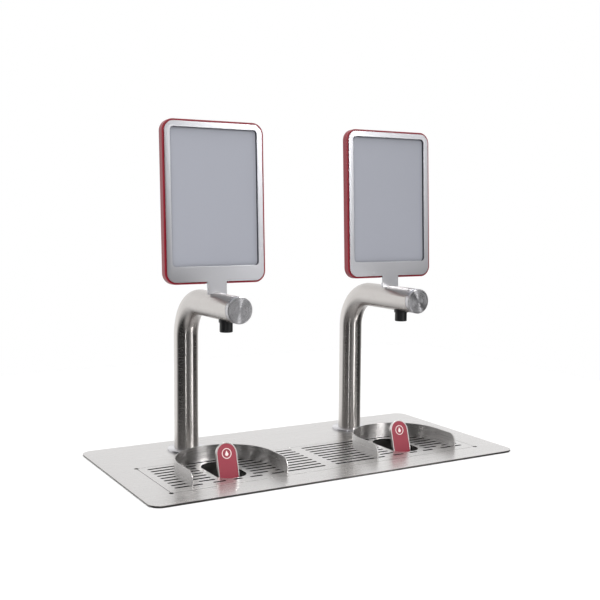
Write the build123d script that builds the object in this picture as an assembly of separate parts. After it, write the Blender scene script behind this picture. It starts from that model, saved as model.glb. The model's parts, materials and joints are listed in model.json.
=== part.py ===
from build123d import *
from math import cos, radians, sin, sqrt
import os

os.makedirs("parts", exist_ok=True)

# Frame: origin at the plan centre of the deck on the counter surface,
# +X to the user's right, +Y to the back, +Z up.  Millimetres.

# deck and its seal
DECK_W = 680.0          # width of the deck plate
DECK_D = 345.0          # depth of the deck plate
DECK_T = 2.0            # sheet thickness
DECK_R = 20.0           # plan corner radius
GASKET_T = 1.5          # sealing ring under the deck
TOP = GASKET_T + DECK_T  # deck top

# stations
STATION_X = 170.0       # each spout stands this far from the centre
COLUMN_Y = 105.0        # column axis

# tube
TUBE_OD = 42.4
TUBE_WALL = 2.0
BEND_R = 65.0
ARM_Z = TOP + 264.9     # axis height of the arm
CAP_FRONT = -106.7      # front face of the end cap
CAP_T = 10.0

# spout
NOZZLE_Y = -56.5
NOZZLE_D = 21.0
NOZZLE_DROP = 17.7      # how far it stands below the tube

# grille opening
GRILLE_W = 580.0
GRILLE_FRONT = -121.5
GRILLE_BACK = 26.0
GRILLE_T = 2.0
GRILLE_GAP = 0.8
SLOT_PITCH = 14.2
SLOT_W = 5.5
SLOT_EDGE = 277.0       # outer end of the slots
SLOT_MID = 10.0         # half the plain band in the middle
FIRST_ROW = 13.0        # y of the rearmost row

# lever wells in the grille
WELL_W = 52.0
WELL_FRONT = -94.0
WELL_BACK = 5.0
WELL_FRONT_R = 22.0     # its front corners
WELL_MARGIN = 8.5       # plain metal kept round a well

# cup guards
GUARD_R = 83.5
GUARD_WALL = 2.0
GUARD_H = 25.0
GUARD_Y = -59.0         # centre of the round back
GUARD_FRONT = -112.0

# levers
PIVOT_Y = -69.3
PIVOT_Z = TOP - 16.0
LEAN = 16.0
LEVER_W = 36.5
LEVER_T = 5.0
LEVER_UP = 65.3         # pivot to the top of the blade
PIN_D = 5.0
BARREL_D = 9.0
RUN = 0.05              # radial running clearance of the pivots

# drip pan and drain
PAN_FLOOR = -38.0
PAN_WALL = 1.5
LEDGE = 6.0
FLANGE = 8.0
DRAIN_NECK_D = 44.0      # threaded neck of the drain
DRAIN_D = 40.0           # waste tail
DRAIN_BORE = 34.0
DRAIN_END = -85.0

# column fixing
SHANK_D = 20.0
SHANK_END = -60.0
COLLAR_D = 66.0
COLLAR_T = 3.5
HOSE_D = 11.0
HOSE_SHIFT = 8.0        # the hose lies this far above the arm axis

# display panel
PANEL_W = 170.6
PANEL_H = 253.2
PANEL_T = 2.0
PANEL_R = 16.0
PANEL_Y = -22.8         # front face at its lower edge
PANEL_Z = TOP + 303.8   # lower edge of the front frame
PANEL_TILT = -2.6
WINDOW_W = 151.7
WINDOW_LOW = 25.0
WINDOW_HIGH = 244.2
RECESS = 5.0
HOUSING_LIP = 3.2       # the housing shows this much round the frame
HOUSING_D = 14.0
NECK_W = 34.0

GRILLE_Y = (GRILLE_FRONT + GRILLE_BACK) / 2
GRILLE_D = GRILLE_BACK - GRILLE_FRONT
OPEN_W = GRILLE_W + 2 * GRILLE_GAP
OPEN_D = GRILLE_D + 2 * GRILLE_GAP
TUBE_R = TUBE_OD / 2
BORE_R = TUBE_R - TUBE_WALL
SIDES = {"left": -STATION_X, "right": STATION_X}


def plate(w, d, z0, z1, r, x=0.0, y=0.0):
    """Flat plate with rounded plan corners between two heights."""
    return Pos(x, y, z0) * extrude(RectangleRounded(w, d, r), z1 - z0)


def block(x0, x1, y0, y1, z0, z1):
    return Pos((x0 + x1) / 2, (y0 + y1) / 2, (z0 + z1) / 2) * Box(
        x1 - x0, y1 - y0, z1 - z0)


def post(r, z0, z1, x=0.0, y=0.0):
    """Upright cylinder between two heights."""
    return Pos(x, y, (z0 + z1) / 2) * Cylinder(r, z1 - z0)


def bar_x(r, x0, x1, y, z):
    return Pos((x0 + x1) / 2, y, z) * Rot(0, 90, 0) * Cylinder(r, x1 - x0)


def bar_y(r, y0, y1, x, z):
    return Pos(x, (y0 + y1) / 2, z) * Rot(90, 0, 0) * Cylinder(r, y1 - y0)


def hexagon(flats, z0, z1, x=0.0, y=0.0):
    return Pos(x, y, z0) * extrude(
        RegularPolygon(flats / 2, 6, major_radius=False), z1 - z0)


def arm_path(x, y_col, z_low, z_arm, bend, y_end):
    """Straight up, a quarter bend to the front, straight to the end."""
    p0 = (x, y_col, z_low)
    p1 = (x, y_col, z_arm - bend)
    p2 = (x, y_col - bend, z_arm)
    p3 = (x, y_end, z_arm)
    mid = (x, y_col - bend + bend * cos(radians(45)),
           z_arm - bend + bend * sin(radians(45)))
    return [Line(p0, p1), ThreePointArc(p1, mid, p2), Line(p2, p3)]


def rod(r, edges, start):
    return sweep(Plane(start, z_dir=(0, 0, 1)) * Circle(r), Wire(edges))


def upright(w, z0, z1, y0, y1, r, x=0.0):
    """Panel layer: rounded rectangle in the XZ plane, from y0 (front) to y1 (back)."""
    face = Plane((x, y0, (z0 + z1) / 2), x_dir=(1, 0, 0), z_dir=(0, 1, 0))
    return extrude(face * RectangleRounded(w, z1 - z0, r), y1 - y0)


# ---------------------------------------------------------------- deck
gasket = plate(DECK_W - 4, DECK_D - 4, 0, GASKET_T, DECK_R - 2)
gasket -= plate(DECK_W - 56, DECK_D - 56, -1, GASKET_T + 1, 6)
export_step(gasket, "parts/deck_gasket.step")

deck = plate(DECK_W, DECK_D, GASKET_T, TOP, DECK_R)
deck -= block(-OPEN_W / 2, OPEN_W / 2, GRILLE_Y - OPEN_D / 2, GRILLE_Y + OPEN_D / 2, 0, 9)
reliefs = []
for sx in (-1, 1):
    reliefs.append((sx * OPEN_W / 2, GRILLE_Y - OPEN_D / 2))
    reliefs.append((sx * OPEN_W / 2, GRILLE_Y + OPEN_D / 2))
for x, y in reliefs:
    deck -= post(3.5, 0, 9, x, y)
for x in SIDES.values():
    deck -= post(SHANK_D / 2 + 0.2, 0, 9, x, COLUMN_Y)
export_step(deck, "parts/deck_plate.step")

# ---------------------------------------------------------------- drip pan
pan = plate(OPEN_W + 2 * PAN_WALL, OPEN_D + 2 * PAN_WALL,
            PAN_FLOOR - PAN_WALL, GASKET_T, 5, 0, GRILLE_Y)
pan += plate(OPEN_W + 2 * FLANGE, OPEN_D + 2 * FLANGE,
             GASKET_T - PAN_WALL, GASKET_T, 10, 0, GRILLE_Y)
pan -= plate(OPEN_W, OPEN_D, PAN_FLOOR, GASKET_T - PAN_WALL, 3.5, 0, GRILLE_Y)
pan -= plate(OPEN_W - 2 * LEDGE, OPEN_D - 2 * LEDGE,
             PAN_FLOOR, GASKET_T + 1, 6, 0, GRILLE_Y)
pan -= post(DRAIN_NECK_D / 2 + 0.2, PAN_FLOOR - 5, PAN_FLOOR + 5, 0, GRILLE_Y)
export_step(pan, "parts/drip_pan.step")

strainer = post(33, PAN_FLOOR, PAN_FLOOR + 2, 0, GRILLE_Y)
strainer += post(DRAIN_NECK_D / 2, PAN_FLOOR - 20, PAN_FLOOR, 0, GRILLE_Y)
strainer -= post(DRAIN_BORE / 2, PAN_FLOOR - 30, PAN_FLOOR - 1, 0, GRILLE_Y)
strainer -= post(2.2, PAN_FLOOR - 3, PAN_FLOOR + 3, 0, GRILLE_Y)
for ring, count in ((6.5, 6), (12.5, 12)):
    for k in range(count):
        a = radians(360 * k / count)
        strainer -= post(2.2, PAN_FLOOR - 3, PAN_FLOOR + 3,
                         ring * cos(a), GRILLE_Y + ring * sin(a))
export_step(strainer, "parts/drain_strainer.step")

seal_low = PAN_FLOOR - PAN_WALL - 3
seal = post(31, seal_low, PAN_FLOOR - PAN_WALL, 0, GRILLE_Y)
seal -= post(DRAIN_NECK_D / 2 + 0.1, seal_low - 1, 0, 0, GRILLE_Y)
export_step(seal, "parts/drain_seal.step")

drain_nut = hexagon(58, seal_low - 8, seal_low, 0, GRILLE_Y)
drain_nut -= post(DRAIN_NECK_D / 2 + 0.05, seal_low - 20, 0, 0, GRILLE_Y)
export_step(drain_nut, "parts/drain_nut.step")

tail = post(DRAIN_D / 2, DRAIN_END, PAN_FLOOR - 20, 0, GRILLE_Y)
tail -= post(DRAIN_BORE / 2, DRAIN_END - 1, 0, 0, GRILLE_Y)
export_step(tail, "parts/drain_tail.step")

# ---------------------------------------------------------------- grille
def well(x):
    """Outline of the lever well: rounded front corners, half-round back."""
    half = WELL_W / 2
    shape = Pos(x, WELL_BACK - half) * Circle(half)
    y_mid = (WELL_FRONT + WELL_BACK - half) / 2
    shape += Pos(x, y_mid) * Rectangle(WELL_W, WELL_BACK - half - WELL_FRONT)
    return shape


def slot_spans(row):
    """Slot ends in one row between the middle of the grille and its side edge,
    as distances from that side's station (minus is towards the middle)."""
    y = FIRST_ROW - row * SLOT_PITCH
    outer = SLOT_EDGE - STATION_X
    inner = SLOT_MID - STATION_X
    if row == 0:
        return [(inner, outer)]
    if row <= 6:
        half = WELL_W / 2
        cy = WELL_BACK - half
        if y > cy:
            half = sqrt(max((half + WELL_MARGIN) ** 2 - (y - cy) ** 2, 0))
            return [(inner, -half), (half, outer)]
        return [(inner, -half - WELL_MARGIN), (half + WELL_MARGIN, outer)]
    if row == 7:
        spans = [(33, 61), (73, outer)]
    else:
        spans = [(21, 43), (60, outer)]
    out = [(-spans[0][1], -spans[0][0]), (inner, -spans[1][0])]
    if row == 8:
        out.append((-8, 8))
    return out + spans


grille = plate(GRILLE_W, GRILLE_D, TOP - GRILLE_T, TOP, 0.5, 0, GRILLE_Y)
for x, y in reliefs:
    grille -= post(4.0, 0, 9, x, y)
cuts = []
for side, x0 in SIDES.items():
    hand = -1 if x0 < 0 else 1
    for row in range(9):
        y = FIRST_ROW - row * SLOT_PITCH
        for a, b in slot_spans(row):
            xa, xb = x0 + hand * a, x0 + hand * b
            cuts.append(Pos((xa + xb) / 2, y) * SlotOverall(abs(xb - xa), SLOT_W))
    cuts.append(well(x0))
holes = Sketch() + cuts
grille -= Pos(0, 0, TOP - GRILLE_T - 1) * extrude(holes, GRILLE_T + 2)
front_edges = [e for e in grille.edges().filter_by(Axis.Z)
               if abs(e.center().Y - WELL_FRONT) < 0.1
               and abs(abs(e.center().X) - STATION_X) < WELL_W / 2 + 0.1]
grille = fillet(front_edges, WELL_FRONT_R)
export_step(grille, "parts/grille.step")

guard_outer = Pos(0, GUARD_Y) * Circle(GUARD_R)
guard_outer += Pos(0, (GUARD_FRONT + GUARD_Y) / 2) * Rectangle(2 * GUARD_R, GUARD_Y - GUARD_FRONT)
inner_r = GUARD_R - GUARD_WALL
guard_inner = Pos(0, GUARD_Y) * Circle(inner_r)
guard_inner += Pos(0, (GUARD_FRONT - 5 + GUARD_Y) / 2) * Rectangle(
    2 * inner_r, GUARD_Y - GUARD_FRONT + 5)
guard_body = extrude(guard_outer - guard_inner, GUARD_H)
guard_round = block(-GUARD_R - 1, GUARD_R + 1, GUARD_FRONT + 15, 100, 0, GUARD_H)
guard_round += block(-GUARD_R - 1, GUARD_R + 1, GUARD_FRONT, 100, 0, GUARD_H - 15)
guard_round += bar_x(15, -GUARD_R - 1, GUARD_R + 1, GUARD_FRONT + 15, GUARD_H - 15)
guard_body = guard_body & guard_round
for name, x in SIDES.items():
    export_step(Pos(x, 0, TOP) * guard_body, f"parts/{name}_guard.step")

# ---------------------------------------------------------------- lever hinge
LUG_IN = 28.0
LUG_OUT = 31.0
lug_low = PIVOT_Z - 14.5
lean = radians(LEAN)


def at_lever(y, z):
    """World Y, Z of a point given in the leaning lever's own axes."""
    return (PIVOT_Y + y * cos(lean) + z * sin(lean),
            PIVOT_Z - y * sin(lean) + z * cos(lean))


STOP_R = 2.0
stop_y, stop_z = at_lever(LEVER_T / 2 + 0.35 + STOP_R, -11)
lugs = None
for s in (-1, 1):
    a, b = sorted((s * LUG_IN, s * LUG_OUT))
    lug = block(a, b, PIVOT_Y - 10, PIVOT_Y + 10, lug_low, GASKET_T)
    lug = fillet(lug.edges().filter_by(Axis.X).group_by(Axis.Z)[0], 6)
    lugs = lug if lugs is None else lugs + lug
lugs += bar_x(STOP_R, -LUG_IN, LUG_IN, stop_y, stop_z)
lugs -= bar_x(PIN_D / 2 + RUN, -40, 40, PIVOT_Y, PIVOT_Z)

pin = bar_x(PIN_D / 2, -LUG_OUT, LUG_OUT + 0.6, PIVOT_Y, PIVOT_Z)
pin += bar_x(4, -LUG_OUT - 2, -LUG_OUT, PIVOT_Y, PIVOT_Z)
pin += bar_x(4, LUG_OUT, LUG_OUT + 1.5, PIVOT_Y, PIVOT_Z)

COIL_IN = 20.4
WIRE = 1.0
coil_r = 4.0
turns = 5
coil_len = LUG_IN - WIRE / 2 - COIL_IN - WIRE / 2
helix = Helix(coil_len / turns, coil_len, coil_r)
ring = Plane(helix @ 0, z_dir=helix % 0) * Circle(WIRE / 2)
coil = sweep(ring, helix)
coil = Pos(COIL_IN + WIRE / 2, PIVOT_Y, PIVOT_Z) * Rot(0, 90, 0) * coil
springs = coil + mirror(coil, Plane.YZ)

for name, x in SIDES.items():
    export_step(Pos(x, 0, 0) * lugs, f"parts/{name}_hinge_lugs.step")
    export_step(Pos(x, 0, 0) * pin, f"parts/{name}_hinge_pin.step")
    export_step(Pos(x, 0, 0) * springs, f"parts/{name}_springs.step")

# ---------------------------------------------------------------- levers
RIM = 1.8
INLAY_T = 0.7
POCKET = 0.8
MAGNET_D = 6.0
tail_end = -14.0


def blade(w, z0, z1, y0, y1):
    """Blade with a half-round top, front at y0."""
    face = Plane((0, y0, 0), x_dir=(1, 0, 0), z_dir=(0, 1, 0))
    shape = Pos(0, -(z0 + z1 - w / 2) / 2) * Rectangle(w, z1 - w / 2 - z0)
    shape += Pos(0, -(z1 - w / 2)) * Circle(w / 2)
    return extrude(face * shape, y1 - y0)


lever = blade(LEVER_W, 0, LEVER_UP, -LEVER_T / 2, LEVER_T / 2)
lever += block(-10, 10, -LEVER_T / 2, LEVER_T / 2, tail_end, 0)
lever += bar_x(BARREL_D / 2, -20, 20, 0, 0)
lever -= bar_x(PIN_D / 2 + RUN, -40, 40, 0, 0)
lever -= blade(LEVER_W - 2 * RIM, 5.5, LEVER_UP - RIM, -LEVER_T, -LEVER_T / 2 + POCKET)
lever -= bar_y(MAGNET_D / 2, -LEVER_T / 2 - 1, -LEVER_T / 2 + 2, 0, -9.5)
inlay = blade(LEVER_W - 2 * RIM - 0.2, 5.6, LEVER_UP - RIM - 0.1,
              -LEVER_T / 2 + POCKET - INLAY_T, -LEVER_T / 2 + POCKET)
magnet = bar_y(MAGNET_D / 2, -LEVER_T / 2 - 0.5, -LEVER_T / 2 + 2, 0, -9.5)
for name, x in SIDES.items():
    place = Pos(x, PIVOT_Y, PIVOT_Z) * Rot(-LEAN, 0, 0)
    export_step(place * lever, f"parts/{name}_lever.step")
    export_step(place * inlay, f"parts/{name}_lever_inlay.step")
    export_step(place * magnet, f"parts/{name}_magnet.step")

# ---------------------------------------------------------------- columns
tube_low = TOP
tube = rod(TUBE_R, arm_path(0, COLUMN_Y, tube_low, ARM_Z, BEND_R, CAP_FRONT + CAP_T),
           (0, COLUMN_Y, tube_low))
tube -= rod(BORE_R, arm_path(0, COLUMN_Y, tube_low, ARM_Z, BEND_R, CAP_FRONT + CAP_T),
            (0, COLUMN_Y, tube_low))
SPIGOT_D = 16.0
tube -= post(SPIGOT_D / 2 + 0.1, ARM_Z - 40, ARM_Z, 0, NOZZLE_Y)
SCREW_Y = -12.5
tube -= post(2.1, ARM_Z, ARM_Z + 40, 0, SCREW_Y)

arm_solid = bar_y(TUBE_R + 0.02, CAP_FRONT - 20, 60, 0, ARM_Z)

collar = post(COLLAR_D / 2, TOP, TOP + COLLAR_T, 0, COLUMN_Y)
collar = chamfer(collar.edges().group_by(Axis.Z)[-1], 1.0)
collar -= post(TUBE_R + 0.1, 0, 40, 0, COLUMN_Y)

shank = post(BORE_R - 0.05, TOP, TOP + 14, 0, COLUMN_Y)
shank += post(SHANK_D / 2, SHANK_END, TOP, 0, COLUMN_Y)
shank -= post(HOSE_D / 2 + 0.5, SHANK_END - 1, TOP + 20, 0, COLUMN_Y)

washer = post(22, GASKET_T - 3, GASKET_T, 0, COLUMN_Y)
washer -= post(SHANK_D / 2 + 0.2, -30, 30, 0, COLUMN_Y)
nut = hexagon(32, GASKET_T - 13, GASKET_T - 3, 0, COLUMN_Y)
nut -= post(SHANK_D / 2 + 0.05, -60, 30, 0, COLUMN_Y)

cap = bar_y(TUBE_R, CAP_FRONT, CAP_FRONT + CAP_T, 0, ARM_Z)
cap = chamfer(cap.edges().group_by(Axis.Y)[0], 1.2)
cap = chamfer(cap.edges().group_by(Axis.Y)[-1], 0.5)
cap += bar_y(BORE_R - 0.05, CAP_FRONT + CAP_T - 1, CAP_FRONT + CAP_T + 9, 0, ARM_Z)

nozzle_low = ARM_Z - TUBE_R - NOZZLE_DROP
nozzle = post(NOZZLE_D / 2, nozzle_low, ARM_Z - 10, 0, NOZZLE_Y)
nozzle = chamfer(nozzle.edges().group_by(Axis.Z)[0], 0.8)
nozzle += post(NOZZLE_D / 2 + 1.5, ARM_Z - TUBE_R - 2.2, ARM_Z - 10, 0, NOZZLE_Y)
nozzle -= arm_solid
nozzle += post(SPIGOT_D / 2, ARM_Z - TUBE_R - 3, ARM_Z - 6, 0, NOZZLE_Y)
nozzle -= post(8.5, nozzle_low - 1, nozzle_low + 3, 0, NOZZLE_Y)
nozzle -= post(4.0, nozzle_low - 1, ARM_Z, 0, NOZZLE_Y)
nozzle -= post(HOSE_D / 2 + 0.1, ARM_Z - 15, ARM_Z, 0, NOZZLE_Y)

hose_z = ARM_Z + HOSE_SHIFT
hose_bend = BEND_R + HOSE_SHIFT
HOSE_TURN = 14.0
inlet_floor = SHANK_END - 10
hose_edges = arm_path(0, COLUMN_Y, inlet_floor, hose_z, hose_bend, NOZZLE_Y + HOSE_TURN)
turn_mid = (0, NOZZLE_Y + HOSE_TURN - HOSE_TURN * sin(radians(45)),
            hose_z - HOSE_TURN + HOSE_TURN * cos(radians(45)))
hose_edges.append(ThreePointArc((0, NOZZLE_Y + HOSE_TURN, hose_z), turn_mid,
                                (0, NOZZLE_Y, hose_z - HOSE_TURN)))
hose_edges.append(Line((0, NOZZLE_Y, hose_z - HOSE_TURN), (0, NOZZLE_Y, ARM_Z - 15)))
hose = rod(HOSE_D / 2, hose_edges, (0, COLUMN_Y, inlet_floor))
hose -= rod(HOSE_D / 2 - 1.5, hose_edges, (0, COLUMN_Y, inlet_floor))

INLET_R = 8.33
fitting = hexagon(24, SHANK_END - 16, SHANK_END, 0, COLUMN_Y)
fitting += post(INLET_R, SHANK_END - 30, SHANK_END - 16, 0, COLUMN_Y)
fitting -= post(HOSE_D / 2 + 0.1, inlet_floor, SHANK_END + 1, 0, COLUMN_Y)
fitting -= post(4.0, SHANK_END - 40, SHANK_END, 0, COLUMN_Y)

column_set = {
    "column_tube": tube, "column_collar": collar, "column_shank": shank,
    "clamp_washer": washer, "clamp_nut": nut, "end_cap": cap, "nozzle": nozzle,
    "supply_hose": hose, "inlet_fitting": fitting,
}
for name, x in SIDES.items():
    for piece, shape in column_set.items():
        export_step(Pos(x, 0, 0) * shape, f"parts/{name}_{piece}.step")

# ---------------------------------------------------------------- panels
panel_place = Pos(0, PANEL_Y, PANEL_Z) * Rot(PANEL_TILT, 0, 0)
neck_low = -(PANEL_Z - ARM_Z)
frame = upright(PANEL_W, 0, PANEL_H, 0, PANEL_T, PANEL_R)
frame += block(-NECK_W / 2, NECK_W / 2, 0, PANEL_T, neck_low + TUBE_R - 3, 6)
frame -= upright(WINDOW_W, WINDOW_LOW, WINDOW_HIGH, -1, PANEL_T + 1, 6)
frame = panel_place * frame - arm_solid

BEZEL_W = PANEL_W - 4
bezel = upright(BEZEL_W, 2, PANEL_H - 2, PANEL_T, RECESS, PANEL_R - 2)
bezel -= upright(WINDOW_W, WINDOW_LOW, WINDOW_HIGH, 0, RECESS + 1, 6)
bezel -= block(-16, 16, 0, 15, 0, 17)

MODULE_BACK = HOUSING_D - 2
module = upright(WINDOW_W + 10, 19, WINDOW_HIGH + 4, RECESS, MODULE_BACK, 9)

housing_w = PANEL_W + 2 * HOUSING_LIP
housing = upright(housing_w, -HOUSING_LIP, PANEL_H + HOUSING_LIP,
                  PANEL_T, HOUSING_D, PANEL_R + HOUSING_LIP)
housing -= upright(BEZEL_W + 0.4, 1.8, PANEL_H - 1.8, 0, MODULE_BACK, PANEL_R - 1.8)
housing -= block(-20, 20, 0, MODULE_BACK, -9, 3)

screw_spots = [(sx * 66, z) for sx in (-1, 1) for z in (40, 225)]
screws = []
for sx, z in screw_spots:
    housing -= bar_y(1.6, 0, 30, sx, z)
    module -= bar_y(1.55, MODULE_BACK - 4, 30, sx, z)
    s = bar_y(1.5, MODULE_BACK - 3.5, HOUSING_D, sx, z)
    s += bar_y(3.0, HOUSING_D, HOUSING_D + 1.8, sx, z)
    screws.append(s)

saddle_top = ARM_Z + TUBE_R + 4
saddle = block(-9, 9, PANEL_T, PANEL_T + 3, neck_low + 14, 15)
saddle = panel_place * saddle
saddle += block(-9, 9, PANEL_Y + 2, -8, ARM_Z + 14, saddle_top)
panel_front = panel_place * block(-40, 40, -60, PANEL_T, -60, 60)
saddle -= panel_front
saddle -= arm_solid
saddle -= post(2.1, ARM_Z, ARM_Z + 60, 0, SCREW_Y)
saddle_screw = post(2.0, ARM_Z + BORE_R - 4, saddle_top, 0, SCREW_Y)
saddle_screw += post(3.6, saddle_top, saddle_top + 2.2, 0, SCREW_Y)
saddle_screw -= hexagon(2.5, saddle_top + 1, saddle_top + 5, 0, SCREW_Y)

panel_set = {
    "panel_frame": frame,
    "panel_bezel": panel_place * bezel,
    "display_module": panel_place * module,
    "panel_housing": panel_place * housing,
    "housing_screws": panel_place * Compound(screws),
    "saddle_bracket": saddle,
    "saddle_screw": saddle_screw,
}
for name, x in SIDES.items():
    for piece, shape in panel_set.items():
        export_step(Pos(x, 0, 0) * shape, f"parts/{name}_{piece}.step")

# ---------------------------------------------------------------- lever sensors
POD_R = 7.0
pod = post(POD_R, PAN_FLOOR - PAN_WALL - 6, PAN_FLOOR - PAN_WALL, 0, PIVOT_Y - 3)
pod = fillet(pod.edges().group_by(Axis.Z)[0], 1.5)
for name, x in SIDES.items():
    export_step(Pos(x, 0, 0) * pod, f"parts/{name}_lever_sensor.step")
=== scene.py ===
import json
import math

import bmesh
import bpy
from bmesh.types import BMEdge, BMVert
from mathutils import Matrix, Vector


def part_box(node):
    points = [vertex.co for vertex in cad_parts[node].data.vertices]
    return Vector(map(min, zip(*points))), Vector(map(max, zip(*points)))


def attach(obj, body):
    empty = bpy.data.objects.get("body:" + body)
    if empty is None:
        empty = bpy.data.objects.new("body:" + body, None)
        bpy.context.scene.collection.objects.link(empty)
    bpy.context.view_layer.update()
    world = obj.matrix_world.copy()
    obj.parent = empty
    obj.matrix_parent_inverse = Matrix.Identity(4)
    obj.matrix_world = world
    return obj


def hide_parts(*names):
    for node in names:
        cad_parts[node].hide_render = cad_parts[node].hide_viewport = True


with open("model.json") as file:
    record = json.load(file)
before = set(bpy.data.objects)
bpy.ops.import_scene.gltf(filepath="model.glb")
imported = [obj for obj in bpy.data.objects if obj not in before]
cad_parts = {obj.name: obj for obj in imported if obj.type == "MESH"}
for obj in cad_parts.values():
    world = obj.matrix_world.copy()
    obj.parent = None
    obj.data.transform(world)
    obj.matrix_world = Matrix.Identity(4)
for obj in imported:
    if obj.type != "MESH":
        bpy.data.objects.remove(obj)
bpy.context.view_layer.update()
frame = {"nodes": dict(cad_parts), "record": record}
nodes = frame["nodes"]
record = frame["record"]
body_of = {n: b for b, names in record["behaviour"]["bodies"].items() for n in names}
slot_of = {s["node"]: s["material_slot"] for s in record["subparts"]}

MM = 0.001
MERGE = 1e-6          # metres: points closer than this are one point
FINE_MERGE = 1e-7
QUARTER = math.pi / 2
STATION_X = {"left": -170 * MM, "right": 170 * MM}


# ---------------------------------------------------------------- deck and grille sheet
# The deck is one 2 mm sheet of 304 stainless steel, laser cut and belt brushed along
# its length, so it mirrors what stands on it softly and shows long fine scratches.
# Its cut edges are broken by hand, which gives them a thin bright line.
def linear(hex_colour):
    """sRGB hex to a linear colour with alpha."""
    parts = [int(hex_colour[i:i + 2], 16) / 255 for i in (1, 3, 5)]
    return [c / 12.92 if c <= 0.04045 else ((c + 0.055) / 1.055) ** 2.4 for c in parts] + [1.0]


def add_node(material, kind, links=(), **settings):
    """Adds a node, sets its named inputs or properties, and links its inputs."""
    made = material.node_tree.nodes.new(kind)
    for key, value in settings.items():
        label = key.replace("_", " ")
        if label in made.inputs:
            made.inputs[label].default_value = value
        else:
            setattr(made, key, value)
    for socket, source in dict(links).items():
        material.node_tree.links.new(source, made.inputs[socket])
    return made


def map_range(material, value, from_low, from_high, to_low, to_high):
    """A value stretched from one range to another, held at the ends."""
    spread = add_node(material, "ShaderNodeMapRange", {"Value": value})
    for key, limit in (("From Min", from_low), ("From Max", from_high),
                       ("To Min", to_low), ("To Max", to_high)):
        spread.inputs[key].default_value = limit
    return spread.outputs["Result"]


def new_finish(name, hex_colour, roughness, metallic=0.0):
    """A material with its Principled shader, ready for a pattern."""
    material = bpy.data.materials.new(name)
    material.use_nodes = True
    shader = material.node_tree.nodes["Principled BSDF"]
    shader.inputs["Base Color"].default_value = linear(hex_colour)
    shader.inputs["Roughness"].default_value = roughness
    shader.inputs["Metallic"].default_value = metallic
    return material, shader


NOISE_SPAN = (0.3, 0.7)      # the part of the noise that carries most of its values


def lay_pattern(material, shader, scale, rough_low, rough_high, bump_mm, detail=3.0, uv=None):
    """Noise drawn at a real scale that varies the roughness and a very shallow bump."""
    if uv:
        start = add_node(material, "ShaderNodeUVMap", uv_map=uv).outputs["UV"]
    else:
        start = add_node(material, "ShaderNodeTexCoord").outputs["Object"]
    mapping = add_node(material, "ShaderNodeMapping", {"Vector": start}, Scale=scale)
    noise = add_node(material, "ShaderNodeTexNoise", {"Vector": mapping.outputs["Vector"]},
                     Scale=1.0, Detail=detail, Roughness=0.6)
    rough = map_range(material, noise.outputs["Fac"], *NOISE_SPAN, rough_low, rough_high)
    bump = add_node(material, "ShaderNodeBump", {"Height": noise.outputs["Fac"]},
                    Strength=1.0, Distance=bump_mm * MM)
    tree = material.node_tree
    tree.links.new(rough, shader.inputs["Roughness"])
    tree.links.new(bump.outputs["Normal"], shader.inputs["Normal"])


def brush_along(material, shader, uv, amount):
    """Scratches run along the UV map's first axis, so a light smears across them."""
    shader.inputs["Anisotropic"].default_value = amount
    shader.inputs["Anisotropic Rotation"].default_value = 0.25    # a quarter turn
    grain = add_node(material, "ShaderNodeTangent", direction_type="UV_MAP", uv_map=uv)
    material.node_tree.links.new(grain.outputs["Tangent"], shader.inputs["Tangent"])


def set_uv(bm, name, rule):
    """Fills a UV map from a rule that takes a loop's face and its point."""
    layer = bm.loops.layers.uv.new(name)
    for face in bm.faces:
        for loop in face.loops:
            loop[layer].uv = rule(face, loop.vert.co)


def grain_across(face, co):
    """Grain along X on the flat faces of a sheet."""
    return co.x, co.y + co.z


# Brushed 304 stainless: the grain is about 0.2 mm wide and is drawn 0.9 mm wide to show.
brushed, shader = new_finish("brushed_304_stainless", "#CFCDCC", 0.3, 1.0)
lay_pattern(brushed, shader, (7, 1100, 1100), 0.24, 0.34, 0.005)
brush_along(brushed, shader, "grain", 0.5)
# The cut walls of a slot are dark and rough beside the brushed face: painted shade, for the
# shade down in the slots.
slot_painted_shade, shader = new_finish("slot_wall_painted_shade", "#1D1B1A", 0.6, 1.0)
# The deck's upright cut walls are a darker, duller steel than its brushed face.
darker_deck_wall, shader = new_finish("darker_stainless_edge", "#77736F", 0.45, 1.0)


def finish_shape(bm, sharp_over=40):
    """Smooth shading everywhere but over real edges."""
    for face in bm.faces:
        face.smooth = True
    for edge in bm.edges:
        if len(edge.link_faces) != 2 or edge.calc_face_angle(0) > math.radians(sharp_over):
            edge.smooth = False


def make_object(bm, name, material):
    """Makes a bmesh an object of the scene, in one material."""
    mesh = bpy.data.meshes.new(name)
    bm.to_mesh(mesh)
    bm.free()
    mesh.materials.append(material)
    made = bpy.data.objects.new(name, mesh)
    bpy.context.scene.collection.objects.link(made)
    return made


def place_piece(bm, name, body, slot_name, material, takes=()):
    """Makes a bmesh a piece that rides on its body and stands for its CAD nodes."""
    piece = make_object(bm, name, material)
    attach(piece, body)
    if takes:
        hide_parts(*takes)
    return piece


def even_normals(piece):
    """Keeps big flats flat beside small rounded edges."""
    weighted = piece.modifiers.new("flat_faces", "WEIGHTED_NORMAL")
    weighted.keep_sharp = True
    weighted.weight = 80      # big faces count for more than small ones


def break_edges(bm, width_mm, over, segments=2):
    """Rounds every edge that turns by more than a number of degrees."""
    edges = [e for e in bm.edges
             if len(e.link_faces) == 2 and e.calc_face_angle(0) > math.radians(over)]
    bmesh.ops.bevel(bm, geom=edges, offset=width_mm * MM, offset_type="OFFSET",
                    segments=segments, profile=0.5, affect="EDGES", material=-1,
                    clamp_overlap=True)


SHEET_CORNER = 35     # degrees: a sheet piece's edge turns by more than this
FLAT_WITHIN = math.radians(0.3)
UPRIGHT = 0.3         # a cut wall's normal rises less than this


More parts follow.
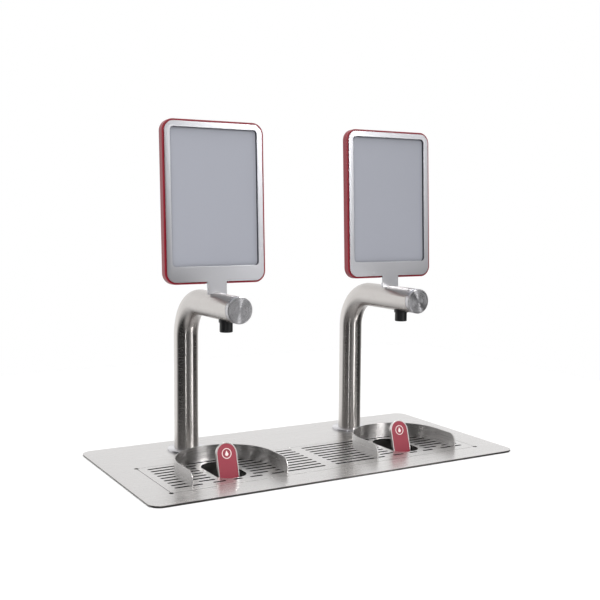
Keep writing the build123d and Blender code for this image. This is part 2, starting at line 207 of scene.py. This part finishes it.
def sheet_piece(node_name, edge_mm, material, segments=2, wall=None):
    """The CAD piece again with its edges broken to a small radius.
    wall is the material of the upright cut walls, where it is not the face's; on the grille it
    is painted shade."""
    bm = bmesh.new()
    bm.from_mesh(nodes[node_name].data)
    bmesh.ops.remove_doubles(bm, verts=bm.verts, dist=MERGE)
    bmesh.ops.dissolve_limit(bm, angle_limit=FLAT_WITHIN, verts=bm.verts, edges=bm.edges)
    break_edges(bm, edge_mm, SHEET_CORNER, segments)
    finish_shape(bm)
    set_uv(bm, "grain", grain_across)
    for face in bm.faces:
        face.material_index = 1 if wall and abs(face.normal.z) < UPRIGHT else 0
    piece = place_piece(bm, node_name + "_finished", body_of[node_name], slot_of[node_name],
                        material, [node_name])
    if wall:
        piece.data.materials.append(wall)
    even_normals(piece)


sheet_piece("deck_plate", 0.25, brushed, wall=darker_deck_wall)
sheet_piece("grille", 0.12, brushed, segments=1, wall=slot_painted_shade)


# ---------------------------------------------------------------- drip pan
# The pan is folded and welded from the same steel, with a dull mill finish inside.
# It sits in the shade under the grille, so it reads as nearly black through the slots.
pan_steel, shader = new_finish("mill_finish_stainless", "#8E8D8B", 0.45, 1.0)
lay_pattern(pan_steel, shader, (300, 300, 300), 0.4, 0.55, 0.01)


# ---------------------------------------------------------------- cup guards
# Each guard is a 25 mm strip of 2 mm stainless, rolled to a half ring with straight legs
# and welded to the grille.  It is brushed along the strip, so light runs round it in bands.
GUARD_R = 83.5 * MM
GUARD_WALL = 2 * MM
GUARD_Y = -59 * MM
GUARD_FRONT = -112 * MM
GUARD_CORNER = 15 * MM
GUARD_CORNER_STEPS = 10
GUARD_EDGE = 0.35     # mm
GUARD_SHARP = 45      # degrees
GUARD_QUARTER_STEPS = 40

rolled, shader = new_finish("rolled_brushed_stainless", "#C6C4C3", 0.28, 1.0)
lay_pattern(rolled, shader, (9, 9, 1500), 0.26, 0.31, 0.002)
brush_along(rolled, shader, "strip", 0.9)

deck_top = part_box("deck_plate")[1][2]


def only(geometry, kind):
    """The vertices or the edges of what an operator gave back."""
    return [g for g in geometry if isinstance(g, kind)]


def strip_rule(x):
    """Length along the rolled strip, and height."""
    def rule(face, co):
        if co.y >= GUARD_Y:
            return math.atan2(co.y - GUARD_Y, co.x - x) * GUARD_R, co.z
        if co.x > x:
            return co.y - GUARD_Y, co.z
        return math.pi * GUARD_R + GUARD_Y - co.y, co.z
    return rule


def make_guard(x):
    """Half of the strip, one leg and a quarter of the ring, mirrored about the station."""
    low, high = deck_top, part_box("left_guard")[1][2]
    bm = bmesh.new()
    corners = [bm.verts.new((x + GUARD_R, y, z)) for y, z in
               ((GUARD_Y, low), (GUARD_FRONT, low), (GUARD_FRONT, high), (GUARD_Y, high))]
    bm.faces.new(corners)
    top_front = corners[2]
    bmesh.ops.bevel(bm, geom=[top_front], offset=GUARD_CORNER, offset_type="OFFSET",
                    segments=GUARD_CORNER_STEPS, profile=0.5, affect="VERTICES",
                    material=-1)
    pulled = bmesh.ops.extrude_face_region(bm, geom=bm.faces[:])["geom"]
    bmesh.ops.translate(bm, verts=only(pulled, BMVert), vec=(-GUARD_WALL, 0, 0))
    back = [f for f in bm.faces if all(abs(v.co.y - GUARD_Y) < FINE_MERGE for v in f.verts)]
    rim = list(back[0].edges)
    bmesh.ops.delete(bm, geom=back, context="FACES_ONLY")
    bmesh.ops.spin(bm, geom=rim, cent=(x, GUARD_Y, 0), axis=(0, 0, 1),
                   angle=QUARTER, steps=GUARD_QUARTER_STEPS, use_merge=False,
                   use_duplicate=False)
    other = bmesh.ops.duplicate(bm, geom=bm.verts[:] + bm.edges[:] + bm.faces[:])["geom"]
    for v in only(other, BMVert):
        v.co.x = 2 * x - v.co.x
    bmesh.ops.remove_doubles(bm, verts=bm.verts, dist=2 * MERGE)
    bmesh.ops.recalc_face_normals(bm, faces=bm.faces)
    break_edges(bm, GUARD_EDGE, GUARD_SHARP)
    finish_shape(bm)
    set_uv(bm, "strip", strip_rule(x))
    return bm


for side, x in STATION_X.items():
    guard = place_piece(make_guard(x), side + "_guard_strip", "grille",
                        slot_of[side + "_guard"], rolled, [side + "_guard"])
    even_normals(guard)


# ---------------------------------------------------------------- column tubes
# Each column is one length of 42.4 mm stainless tube, bent through a right angle and
# belt polished round its girth: upright reflections stay crisp across and smear along.
TUBE_R = 21.2 * MM
TUBE_WALL = 2 * MM
COLUMN_Y = 105 * MM
BEND_R = 65 * MM
ARM_Z = deck_top + 264.9 * MM
ARM_END = -96.7 * MM
BEND_LOW = ARM_Z - BEND_R
BEND_FRONT = COLUMN_Y - BEND_R
GIRTH_STEPS = 96
COLUMN_STEPS = 8
BEND_STEPS = 36
ARM_STEPS = 5

polished, shader = new_finish("belt_polished_stainless", "#C9C5C2", 0.2, 1.0)
lay_pattern(polished, shader, (25, 1400, 1), 0.2, 0.28, 0.003, uv="girth_and_length")
brush_along(polished, shader, "girth_and_length", 0.92)


def near_angle(angle, middle):
    """The same angle written within half a turn of a face's middle."""
    if angle - middle > math.pi:
        return angle - 2 * math.pi
    if middle - angle > math.pi:
        return angle + 2 * math.pi
    return angle


def tube_rule(x):
    """Girth angle and length along the tube of a point on its skin."""
    def where(co):
        if co.z <= BEND_LOW:
            return math.atan2(co.y - COLUMN_Y, co.x - x), co.z
        if co.y >= BEND_FRONT:
            turned = math.atan2(co.z - BEND_LOW, co.y - BEND_FRONT)
            out = math.hypot(co.z - BEND_LOW, co.y - BEND_FRONT) - BEND_R
            return math.atan2(out, co.x - x), BEND_LOW + BEND_R * turned
        run = BEND_LOW + BEND_R * QUARTER + BEND_FRONT - co.y
        return math.atan2(co.z - ARM_Z, co.x - x), run

    def rule(face, co):
        angle, along = where(co)
        return near_angle(angle, where(face.calc_center_median())[0]) * TUBE_R, along
    return rule


def pull_straight(bm, rim, way, steps):
    """Extrudes an open rim by a vector in even steps and gives its new rim."""
    for _ in range(steps):
        pulled = bmesh.ops.extrude_edge_only(bm, edges=rim)["geom"]
        rim = only(pulled, BMEdge)
        bmesh.ops.translate(bm, verts=only(pulled, BMVert), vec=way / steps)
    return rim


def make_tube(x):
    """The tube's outer skin: a circle pulled up, turned forward and pulled on."""
    bm = bmesh.new()
    bmesh.ops.create_circle(bm, segments=GIRTH_STEPS, radius=TUBE_R, cap_ends=False,
                            matrix=Matrix.Translation((x, COLUMN_Y, deck_top)))
    rim = pull_straight(bm, bm.edges[:], Vector((0, 0, BEND_LOW - deck_top)), COLUMN_STEPS)
    turned = bmesh.ops.spin(bm, geom=rim, cent=(x, BEND_FRONT, BEND_LOW), axis=(1, 0, 0),
                            angle=QUARTER, steps=BEND_STEPS, use_merge=False,
                            use_duplicate=False)["geom_last"]
    pull_straight(bm, only(turned, BMEdge), Vector((0, ARM_END - BEND_FRONT, 0)), ARM_STEPS)
    bmesh.ops.remove_doubles(bm, verts=bm.verts, dist=FINE_MERGE)
    bmesh.ops.recalc_face_normals(bm, faces=bm.faces)
    lowest = min(bm.faces, key=lambda f: f.calc_center_median().z)
    middle = lowest.calc_center_median()
    if lowest.normal.dot(middle - Vector((x, COLUMN_Y, middle.z))) < 0:
        bmesh.ops.reverse_faces(bm, faces=bm.faces)
    set_uv(bm, "girth_and_length", tube_rule(x))
    finish_shape(bm)
    return bm


for side, x in STATION_X.items():
    tube = place_piece(make_tube(x), side + "_bent_tube", "station",
                       slot_of[side + "_column_tube"], polished, [side + "_column_tube"])
    wall = tube.modifiers.new("wall", "SOLIDIFY")
    wall.thickness = TUBE_WALL
    wall.offset = -1      # inwards from the skin


# ---------------------------------------------------------------- collars and end caps
# Both are turned from stainless bar.  The lathe leaves fine rings, so a light shows as a
# pinwheel of rays on the cap's face.  The cap is pressed into the tube with a fine seam.
CAP_FRONT = -106.7 * MM
CAP_STEPS = 120
CAP_SHARP = 50        # degrees
COLLAR_SHARP = 40
# (radius, depth) in mm: the lathe's rings on the face, then the rim, seam and plug
CAP_PROFILE = [(0.25, 0), (1, 0), (3, 0), (6, 0), (9, 0), (12, 0), (15, 0), (18, 0), (20, 0),
               (20.4, 0.05), (20.85, 0.35), (21.1, 0.75), (21.2, 1.3), (21.2, 9.5),
               (20.8, 10), (19.15, 10), (19.15, 19), (0.25, 19)]
# (radius, height) in mm: a flat ring with a rounded top edge
COLLAR_PROFILE = [(21.3, 0), (33, 0), (33, 2.6), (32.7, 3.1), (32, 3.5), (21.3, 3.5), (21.3, 0)]

turned_steel, shader = new_finish("lathe_turned_stainless", "#CBCACD", 0.3, 1.0)
brush_along(turned_steel, shader, "turning", 0.93)
lay_pattern(turned_steel, shader, (0.6, 60, 1), 0.24, 0.34, 0.001, detail=2.0, uv="turning")


def turning_rule(centre, along):
    """Share of a turn and radius round a turning axis, along Y or Z."""
    def polar(co):
        d = co - centre
        out = d.z if along == "Y" else d.y
        return math.atan2(out, d.x), math.hypot(d.x, out)

    def rule(face, co):
        angle, radius = polar(co)
        angle = near_angle(angle, polar(face.calc_center_median())[0])
        return angle / (2 * math.pi) + 0.5, radius / TUBE_R
    return rule


AXES = {"Y": Vector((0, 1, 0)), "Z": Vector((0, 0, 1))}


def turn(profile, centre, along, steps):
    """Spins a chain of (radius, length) points in mm round an axis and closes its ends."""
    bm = bmesh.new()
    axis = AXES[along]
    verts = [bm.verts.new(centre + (Vector((radius, 0, 0)) + axis * length) * MM)
             for radius, length in profile]
    chain = [bm.edges.new(pair) for pair in zip(verts, verts[1:])]
    bmesh.ops.spin(bm, geom=verts + chain, cent=centre, axis=axis, angle=2 * math.pi,
                   steps=steps, use_merge=True, use_duplicate=False)
    bmesh.ops.remove_doubles(bm, verts=bm.verts, dist=FINE_MERGE)
    open_edges = [e for e in bm.edges if len(e.link_faces) == 1]
    if open_edges:
        bmesh.ops.holes_fill(bm, edges=open_edges, sides=0)
    bmesh.ops.recalc_face_normals(bm, faces=bm.faces)
    return bm


def turned_piece(name, node_name, centre, profile, along, steps, sharp_over):
    bm = turn(profile, centre, along, steps)
    set_uv(bm, "turning", turning_rule(centre, along))
    finish_shape(bm, sharp_over)
    place_piece(bm, name, "station", slot_of[node_name], turned_steel, [node_name])


for side, x in STATION_X.items():
    turned_piece(side + "_turned_cap", side + "_end_cap", Vector((x, CAP_FRONT, ARM_Z)),
                 CAP_PROFILE, "Y", CAP_STEPS, CAP_SHARP)
    turned_piece(side + "_turned_collar", side + "_column_collar",
                 Vector((x, COLUMN_Y, deck_top)), COLLAR_PROFILE, "Z", GIRTH_STEPS, COLLAR_SHARP)


# ---------------------------------------------------------------- nozzles
# Moulded black acetal, pushed up through the tube wall with a flange that seats on it.
# It has a fine even grain and a soft sheen.
acetal, shader = new_finish("moulded_black_acetal", "#141517", 0.4)
lay_pattern(acetal, shader, (900, 900, 900), 0.36, 0.48, 0.01)
for side in STATION_X:
    sheet_piece(side + "_nozzle", 0.25, acetal)


# ---------------------------------------------------------------- display panels
# The front frame and its neck are one laser-cut 2 mm stainless sheet, satin brushed
# across, screwed over a spacer in black painted shade, a grey display and a moulded red back
# shell.
satin_brushed, shader = new_finish("satin_brushed_stainless", "#C4C4C8", 0.32, 1.0)
lay_pattern(satin_brushed, shader, (60, 1300, 1300), 0.3, 0.4, 0.005)
brush_along(satin_brushed, shader, "grain", 0.6)
# Anti-glare glass over a switched-off grey display: pale, even, hardly any shine.
anti_glare, shader = new_finish("anti_glare_display_glass", "#9B9DA6", 0.5)
shader.inputs["Specular IOR Level"].default_value = 0.3
# ABS moulded in deep red, with a fine even mould texture.
red_abs, shader = new_finish("moulded_red_abs", "#820E22", 0.35)
lay_pattern(red_abs, shader, (800, 800, 800), 0.32, 0.42, 0.012)
# The spacer round the display is painted black: painted shade on the walls of the window's
# recess.
recess_painted_shade, shader = new_finish("bezel_painted_shade", "#1A1B1D", 0.7)

for side in STATION_X:
    sheet_piece(side + "_panel_frame", 0.35, satin_brushed)
    sheet_piece(side + "_panel_bezel", 0.1, recess_painted_shade, segments=1)
    sheet_piece(side + "_display_module", 0.3, anti_glare)
    sheet_piece(side + "_panel_housing", 1.2, red_abs, segments=4)
    sheet_piece(side + "_saddle_bracket", 0.5, satin_brushed)


# ---------------------------------------------------------------- levers
# A 5 mm stainless blade with a milled pocket.  A printed red polymer inlay is bonded in
# the pocket, and the bright rim of the blade stands round it.
PIVOT = Vector((0, -69.3 * MM, deck_top - 16 * MM))
LEAN = math.radians(16)
INLAY_FACE = -2.4 * MM

rim_steel, shader = new_finish("milled_stainless_rim", "#D9D5D3", 0.28, 1.0)
lay_pattern(rim_steel, shader, (900, 900, 900), 0.26, 0.34, 0.003)
inlay_red, shader = new_finish("printed_red_polymer", "#963443", 0.42)
lay_pattern(inlay_red, shader, (700, 700, 700), 0.36, 0.5, 0.012)
print_white, shader = new_finish("white_screen_ink", "#F4E6E4", 0.5)

for side in STATION_X:
    sheet_piece(side + "_lever", 0.4, rim_steel)
    sheet_piece(side + "_lever_inlay", 0.1, inlay_red, segments=1)


# ---------------------------------------------------------------- lever marks
# A plain drop in a ring is screen printed in white on each inlay, to say that the
# lever gives a drink.  The ink is a raised film about a tenth of a millimetre thick.
MARK_HEIGHT = 47.5 * MM      # above the pivot, along the blade
MARK_R = 8.4 * MM
MARK_STROKE = 1.2 * MM
DROP_R = 3.0 * MM            # the drop's round lower half
DROP_RISE = 2.4 * MM         # how far its tip is drawn up past that round
DROP_PINCH = 0.55            # the share of its width lost on the way to the tip
DROP_LOWERED = 1.0 * MM
INK = 0.09 * MM


def make_mark(x):
    bm = bmesh.new()
    bmesh.ops.create_circle(bm, segments=64, radius=MARK_R, cap_ends=True)
    bmesh.ops.inset_region(bm, faces=bm.faces[:], thickness=MARK_STROKE,
                           use_boundary=True, use_even_offset=True)
    middle = [f for f in bm.faces if len(f.verts) > 4]
    bmesh.ops.delete(bm, geom=middle, context="FACES_ONLY")
    drop = bmesh.ops.create_circle(bm, segments=48, radius=DROP_R, cap_ends=True)["verts"]
    for v in drop:
        # the upper half of the round is drawn up to a point
        if v.co.y > 0:
            lift = v.co.y / DROP_R
            v.co.x *= 1 - DROP_PINCH * lift
            v.co.y += DROP_RISE * lift * lift
        v.co.y -= DROP_LOWERED
    pulled = bmesh.ops.extrude_face_region(bm, geom=bm.faces[:])["geom"]
    bmesh.ops.translate(bm, verts=only(pulled, BMVert), vec=(0, 0, INK))
    bmesh.ops.recalc_face_normals(bm, faces=bm.faces)
    blade = Matrix.Translation((x, PIVOT.y, PIVOT.z)) @ Matrix.Rotation(-LEAN, 4, "X")
    up_the_blade = Matrix.Translation((0, INLAY_FACE, MARK_HEIGHT))
    stand = Matrix.Rotation(QUARTER, 4, "X")
    bmesh.ops.transform(bm, matrix=blade @ up_the_blade @ stand, verts=bm.verts)
    return bm


for side, x in STATION_X.items():
    place_piece(make_mark(x), side + "_drop_mark", side + "_lever",
                slot_of[side + "_lever_inlay"], print_white)


# ---------------------------------------------------------------- hidden fittings
# Below the deck and inside the tubes: machined brass shanks and nuts, drawn steel pins
# and springs, black rubber seals, nylon drain parts and milky water hoses.
brass, shader = new_finish("machined_brass", "#B8975A", 0.3, 1.0)
bright, shader = new_finish("bright_drawn_steel", "#C4C6C8", 0.22, 1.0)
rubber, shader = new_finish("moulded_nitrile_rubber", "#1B1B1C", 0.65)
nylon, shader = new_finish("moulded_black_nylon", "#17181A", 0.45)
hose_skin, shader = new_finish("polyethylene_hose", "#DADCDD", 0.35)
magnet_nickel, shader = new_finish("nickel_plated_magnet", "#B9BBBD", 0.2, 1.0)
by_slot = {"brass": brass, "bright_steel": bright, "black_rubber": rubber,
           "black_plastic": nylon, "hose_polymer": hose_skin, "nickel_magnet": magnet_nickel,
           "satin_stainless": pan_steel, "brushed_stainless": brushed,
           "turned_stainless": turned_steel, "dark_red_plastic": red_abs,
           "grey_glass": anti_glare, "red_gloss_plastic": inlay_red}
for name, piece in nodes.items():
    for place in piece.material_slots:
        place.material = by_slot[slot_of[name]]


# ---------------------------------------------------------------- counter
# A plain white worktop with the cut-out that the pan and the column shanks pass through.
COUNTER = 2.0
COUNTER_DROP = 0.05 * MM     # keeps it off the seal's underside
CUT_X = 310 * MM
CUT_Y = 140 * MM

counter_white, shader = new_finish("matt_white_worktop", "#FCFCFC", 0.6)
bm = bmesh.new()
bmesh.ops.create_grid(bm, x_segments=1, y_segments=1, size=COUNTER / 2)
for point, normal in (((CUT_X, 0, 0), (1, 0, 0)), ((-CUT_X, 0, 0), (1, 0, 0)),
                      ((0, CUT_Y, 0), (0, 1, 0)), ((0, -CUT_Y, 0), (0, 1, 0))):
    bmesh.ops.bisect_plane(bm, geom=bm.verts[:] + bm.edges[:] + bm.faces[:],
                           plane_co=point, plane_no=normal)
hole = [f for f in bm.faces if abs(f.calc_center_median().x) < CUT_X
        and abs(f.calc_center_median().y) < CUT_Y]
bmesh.ops.delete(bm, geom=hole, context="FACES_ONLY")
bmesh.ops.translate(bm, verts=bm.verts, vec=(0, 0, -COUNTER_DROP))
worktop = make_object(bm, "worktop", counter_white)
worktop.visible_glossy = False   # the room, not the white worktop, shows in the steel


# ---------------------------------------------------------------- studio
# A room that is white behind the station and dark behind the viewer, so that round
# steel shows crisp light and dark bands, as in a product studio.  The camera sees white.
CEILING = 0.75               # the room's level overhead
ROOM_STRENGTH = 1.15
FLOOR_LEVEL = 0.45           # the room's level far below the worktop, as a share
FLOOR_FROM, FLOOR_TO = -0.75, -0.3     # the heights of view between which it fades


def ramp(material, source, stops):
    """Greys over a value from 0 to 1."""
    made = add_node(material, "ShaderNodeValToRGB", {"Fac": source})
    spots = made.color_ramp.elements
    while len(spots) < len(stops):
        spots.new(0.5)
    for spot, (at, level) in zip(spots, stops):
        spot.position = at
        spot.color = (level, level, level, 1)
    return made.outputs["Color"]


world = bpy.data.worlds.new("studio")
bpy.context.scene.world = world
world.use_nodes = True
world.node_tree.nodes.clear()
look = add_node(world, "ShaderNodeTexCoord").outputs["Generated"]
parts = add_node(world, "ShaderNodeSeparateXYZ", {"Vector": look}).outputs
angle = add_node(world, "ShaderNodeMath", operation="ARCTAN2")
world.node_tree.links.new(parts["Y"], angle.inputs[0])
world.node_tree.links.new(parts["X"], angle.inputs[1])
turn_share = map_range(world, angle.outputs[0], -math.pi, math.pi, 0.0, 1.0)


def share(degrees):
    """Where an azimuth falls along the ramp."""
    return (degrees + 180) / 360


walls = ramp(world, turn_share, [
    (share(-180), 0.03), (share(-128), 0.03), (share(-118), 0.12), (share(-70), 0.12),
    (share(-56), 0.04), (share(-20), 0.03), (share(2), 0.1), (share(22), 0.5),
    (share(40), 1.0), (share(142), 1.0), (share(156), 0.4), (share(168), 0.03)])
height = ramp(world, parts["Z"], [(0.0, 0.0), (0.3, 0.0), (0.6, 0.7), (0.85, 1.0)])
room = add_node(world, "ShaderNodeMix", data_type="RGBA")
world.node_tree.links.new(height, room.inputs["Factor"])
world.node_tree.links.new(walls, room.inputs[6])
room.inputs[7].default_value = (CEILING, CEILING, CEILING, 1)
# The room far below the line of sight is about half lit.
depth = map_range(world, parts["Z"], FLOOR_FROM, FLOOR_TO, FLOOR_LEVEL, 1.0)
seen = add_node(world, "ShaderNodeBackground", Color=(1, 1, 1, 1), Strength=1.0)
dim = add_node(world, "ShaderNodeMath", {0: depth}, operation="MULTIPLY")
dim.inputs[1].default_value = ROOM_STRENGTH
felt = add_node(world, "ShaderNodeBackground", {"Color": room.outputs[2],
                                                "Strength": dim.outputs[0]})
ray = add_node(world, "ShaderNodeLightPath")
both = add_node(world, "ShaderNodeMixShader")
world.node_tree.links.new(ray.outputs["Is Camera Ray"], both.inputs[0])
world.node_tree.links.new(felt.outputs[0], both.inputs[1])
world.node_tree.links.new(seen.outputs[0], both.inputs[2])
out = add_node(world, "ShaderNodeOutputWorld")
world.node_tree.links.new(both.outputs[0], out.inputs["Surface"])


def lamp(name, spot, aim, size, power):
    """A rectangular lamp that the camera doesn't see, in metres and watts."""
    light = bpy.data.lights.new(name, "AREA")
    light.shape = "RECTANGLE"
    light.size, light.size_y = size
    light.energy = power
    holder = bpy.data.objects.new(name, light)
    bpy.context.scene.collection.objects.link(holder)
    way = Vector(aim) - Vector(spot)
    holder.matrix_world = (Matrix.Translation(spot)
                           @ way.to_track_quat("-Z", "Y").to_matrix().to_4x4())
    holder.visible_camera = False
    return holder


key = lamp("front_soft_light", (-1.3, -2.2, 1.5), (0, 0, 0.3), (1.6, 1.6), 52)
key.visible_glossy = False
top = lamp("overhead_soft_light", (0.2, -0.3, 2.6), (0, 0, 0), (2.0, 2.0), 30)
top.visible_glossy = False
# These five show only as reflections: two tall strips and a dim card near the columns,
# a far softbox for the guards and panel frames, and a half metre square for the caps.
GLINTS = {
    "near_strip": ((0.27, -0.52, 0.05), (0, 0.1, 0.05), (0.1, 0.5), 0.4),
    "wide_card": ((0.15, -0.56, 0.0), (0, 0.1, 0.0), (0.36, 0.5), 0.16),
    "thin_strip": ((-0.515, -0.604, 0.06), (0, 0.1, 0.06), (0.035, 0.5), 0.3),
    "far_softbox": ((2.68, -2.97, 1.15), (0, 0, 0.2), (1.2, 1.0), 7.2),
    "cap_spark": ((1.05, -1.85, 1.5), (0, -0.1, 0.27), (0.5, 0.5), 19)}
for name, (spot, aim, size, power) in GLINTS.items():
    lamp(name, spot, aim, size, power).visible_diffuse = False

# The camera looks along its own -Z from a place given over the deck's top, in metres.
CAMERA_SPOT = Vector((-0.80306, -1.38617, 0.42037 + deck_top))
LENS_MM = 56.09
SENSOR_MM = 36

camera_data = bpy.data.cameras.new("camera")
camera_data.lens = LENS_MM
camera_data.sensor_width = SENSOR_MM
camera = bpy.data.objects.new("camera", camera_data)
bpy.context.scene.collection.objects.link(camera)
right = Vector((0.8664518, -0.49919375, 0.00817787))
up = Vector((0.04115115, 0.08773121, 0.99529383))
back = Vector((-0.49756192, -0.86203761, 0.09655726))
turned_to = Matrix((right, up, back)).transposed().to_4x4()
camera.matrix_world = Matrix.Translation(CAMERA_SPOT) @ turned_to
bpy.context.scene.camera = camera
bpy.context.scene.view_settings.view_transform = "Standard"
